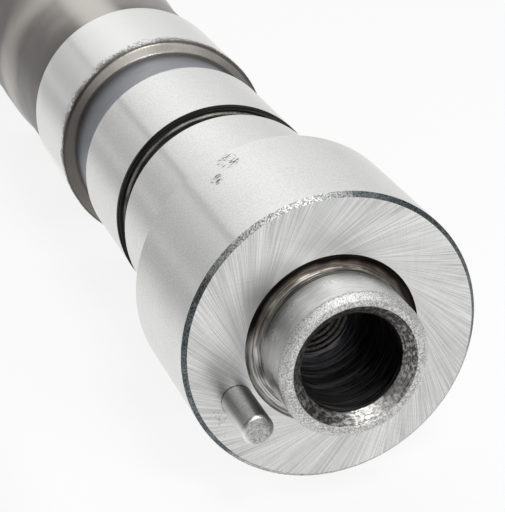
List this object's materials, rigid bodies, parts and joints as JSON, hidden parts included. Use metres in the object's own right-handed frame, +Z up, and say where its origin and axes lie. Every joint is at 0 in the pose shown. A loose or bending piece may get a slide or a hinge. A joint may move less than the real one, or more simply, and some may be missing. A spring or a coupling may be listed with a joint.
{
  "type": "camshaft",
  "caption": "Cast camshaft with ground journals and cams, a bored and threaded nose and a dowel pin in the face that carries the timing gear.",
  "frame": {"origin": "centre of the gear face, on the shaft's axis at the root of the nose", "axes": "+Y along the shaft from the gear face towards the rear journal, so the nose points to -Y; +Z up, as the shaft lies at rest on its two large journals and two cam noses"},
  "size_m": [0.048, 0.6512, 0.048],
  "materials": {
    "ground_iron": "ground and satin, with as-cast flanks",
    "pin_steel": "ground, with sawn speckled ends"
  },
  "bodies": {
    "root": {"camshaft": "ground_iron", "dowel_pin": "pin_steel"}
  },
  "joints": []
}
